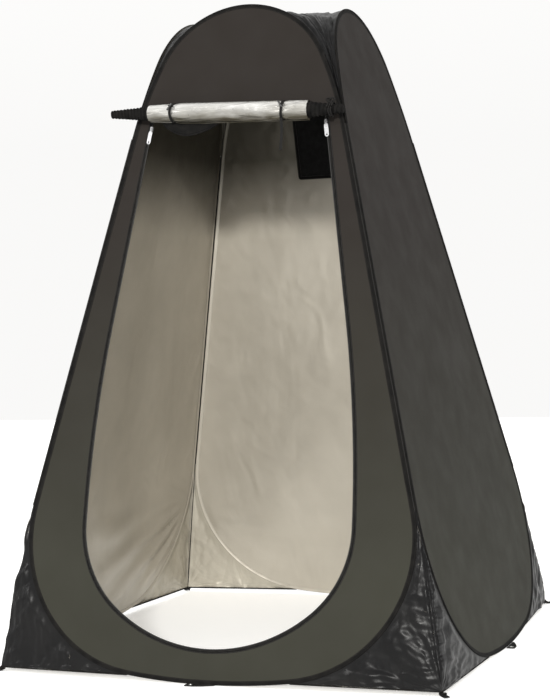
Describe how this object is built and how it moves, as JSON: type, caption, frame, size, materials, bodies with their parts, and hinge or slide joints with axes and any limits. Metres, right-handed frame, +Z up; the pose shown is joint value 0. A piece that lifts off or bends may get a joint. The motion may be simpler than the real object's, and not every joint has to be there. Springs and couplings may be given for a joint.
{
  "type": "pop-up privacy shower tent",
  "caption": "Tall square pop-up privacy tent on sprung hoops, with leaning fabric walls, an egg-shaped zipped doorway with its door rolled up and tied, corner gussets and no floor.",
  "frame": {"origin": "middle of the base, on the ground that the hoops stand on", "axes": "+Z up, -Y out through the doorway, +X to the right of someone facing the doorway from outside"},
  "size_m": [1.411, 1.411, 1.9],
  "materials": {
    "wall_cloth": "matt dark olive-grey outside, silver-beige coating inside",
    "gusset_cloth": "shiny crumpled black coated polyester",
    "binding": "black woven edge binding",
    "webbing": "black narrow webbing",
    "door_cloth": "silver coated polyester",
    "zip_tape": "black herringbone tape",
    "zip_coil": "black nylon coil",
    "zip_metal": "plated die-cast metal",
    "spring_steel": "oiled spring wire",
    "ferrule_steel": "zinc plated crimp",
    "eyelet_metal": "pressed eyelet",
    "toggle_plastic": "moulded black",
    "window_mesh": "fine black knitted mesh"
  },
  "bodies": {
    "front": {"hoop_wire_front": "spring_steel", "hoop_ferrule_front": "ferrule_steel", "hoop_sleeve_front": "binding", "wall_panel_front": "wall_cloth", "roof_gore_front": "gusset_cloth", "gusset_front_right": "gusset_cloth", "seam_tape_front_right": "binding", "corner_loop_front_right": "webbing", "peg_tab_front": "webbing", "peg_eyelet_front": "eyelet_metal", "zip_chain": "zip_coil", "zip_tape": "zip_tape", "door_roll": "door_cloth", "door_zip_ends": "zip_tape", "door_tie_left": "webbing", "door_tie_right": "webbing"},
    "right": {"hoop_wire_right": "spring_steel", "hoop_ferrule_right": "ferrule_steel", "hoop_sleeve_right": "binding", "wall_panel_right": "wall_cloth", "roof_gore_right": "gusset_cloth", "gusset_right_back": "gusset_cloth", "seam_tape_right_back": "binding", "corner_loop_right_back": "webbing", "peg_tab_right": "webbing", "peg_eyelet_right": "eyelet_metal"},
    "back": {"hoop_wire_back": "spring_steel", "hoop_ferrule_back": "ferrule_steel", "hoop_sleeve_back": "binding", "wall_panel_back": "wall_cloth", "roof_gore_back": "gusset_cloth", "gusset_back_left": "gusset_cloth", "seam_tape_back_left": "binding", "corner_loop_back_left": "webbing", "peg_tab_back": "webbing", "peg_eyelet_back": "eyelet_metal", "window_binding": "webbing", "window_mesh": "window_mesh"},
    "left": {"hoop_wire_left": "spring_steel", "hoop_ferrule_left": "ferrule_steel", "hoop_sleeve_left": "binding", "wall_panel_left": "wall_cloth", "roof_gore_left": "gusset_cloth", "gusset_left_front": "gusset_cloth", "seam_tape_left_front": "binding", "corner_loop_left_front": "webbing", "peg_tab_left": "webbing", "peg_eyelet_left": "eyelet_metal"},
    "zip_slider_left": {"zip_slider_left": "zip_metal"},
    "zip_pull_left": {"zip_pull_left": "zip_metal"},
    "tie_toggle_left": {"tie_toggle_left": "toggle_plastic"},
    "zip_slider_right": {"zip_slider_right": "zip_metal"},
    "zip_pull_right": {"zip_pull_right": "zip_metal"},
    "tie_toggle_right": {"tie_toggle_right": "toggle_plastic"},
    "window_flap": {"window_flap": "wall_cloth"}
  },
  "joints": [
    {"name": "fold_front_right", "type": "hinge", "parent": "front", "child": "right", "pos_m": [0.67456, -0.67456, 0], "axis": [-0.2158, 0.2158, 0.9523], "range_deg": [0, 87], "stiffness_Nm_per_rad": 8, "springref_deg": -34.38, "deforming": ["gusset_front_right", "seam_tape_front_right", "roof_gore_front", "roof_gore_right"]},
    {"name": "fold_front_left", "type": "hinge", "parent": "front", "child": "left", "pos_m": [-0.67456, -0.67456, 0], "axis": [0.2158, 0.2158, 0.9523], "range_deg": [0, 86], "deforming": ["gusset_left_front", "seam_tape_left_front", "roof_gore_left"]},
    {"name": "fold_right_back", "type": "hinge", "parent": "right", "child": "back", "pos_m": [0.67456, 0.67456, 0], "axis": [-0.2158, -0.2158, 0.9523], "range_deg": [-86, 0], "deforming": ["gusset_right_back", "seam_tape_right_back", "gusset_back_left", "seam_tape_back_left", "roof_gore_back"]},
    {"name": "zip_slide_left", "type": "slide", "parent": "front", "child": "zip_slider_left", "axis": [-0.1444, -0.2187, -0.9651], "range_m": [0, 0.57]},
    {"name": "zip_slide_right", "type": "slide", "parent": "front", "child": "zip_slider_right", "axis": [0.1444, -0.2187, -0.9651], "range_m": [0, 0.55]},
    {"name": "zip_pull_left_swing", "type": "hinge", "parent": "zip_slider_left", "child": "zip_pull_left", "pos_m": [-0.27038, -0.33041, 1.5495], "axis": [-0.9895, 0.0319, 0.1408], "range_deg": [0, 75]},
    {"name": "zip_pull_right_swing", "type": "hinge", "parent": "zip_slider_right", "child": "zip_pull_right", "pos_m": [0.27271, -0.33394, 1.53389], "axis": [-0.9895, -0.0319, -0.1408], "range_deg": [0, 75]},
    {"name": "toggle_left_turn", "type": "hinge", "parent": "front", "child": "tie_toggle_left", "pos_m": [-0.18676, -0.3833, 1.6025], "axis": [0, -0.9753, 0.221], "range_deg": [-60, 60]},
    {"name": "toggle_right_turn", "type": "hinge", "parent": "front", "child": "tie_toggle_right", "pos_m": [0.15676, -0.38728, 1.58494], "axis": [0, -0.9753, 0.221], "range_deg": [-60, 60]},
    {"name": "window_flap_lift", "type": "hinge", "parent": "back", "child": "window_flap", "pos_m": [0.045, 0.29952, 1.67989], "axis": [1, 0, 0], "range_deg": [0, 150]}
  ],
  "couplings": [
    {"joint": "fold_front_left", "follows": "fold_front_right", "ratio": 0.98},
    {"joint": "fold_right_back", "follows": "fold_front_right", "ratio": -0.98}
  ]
}
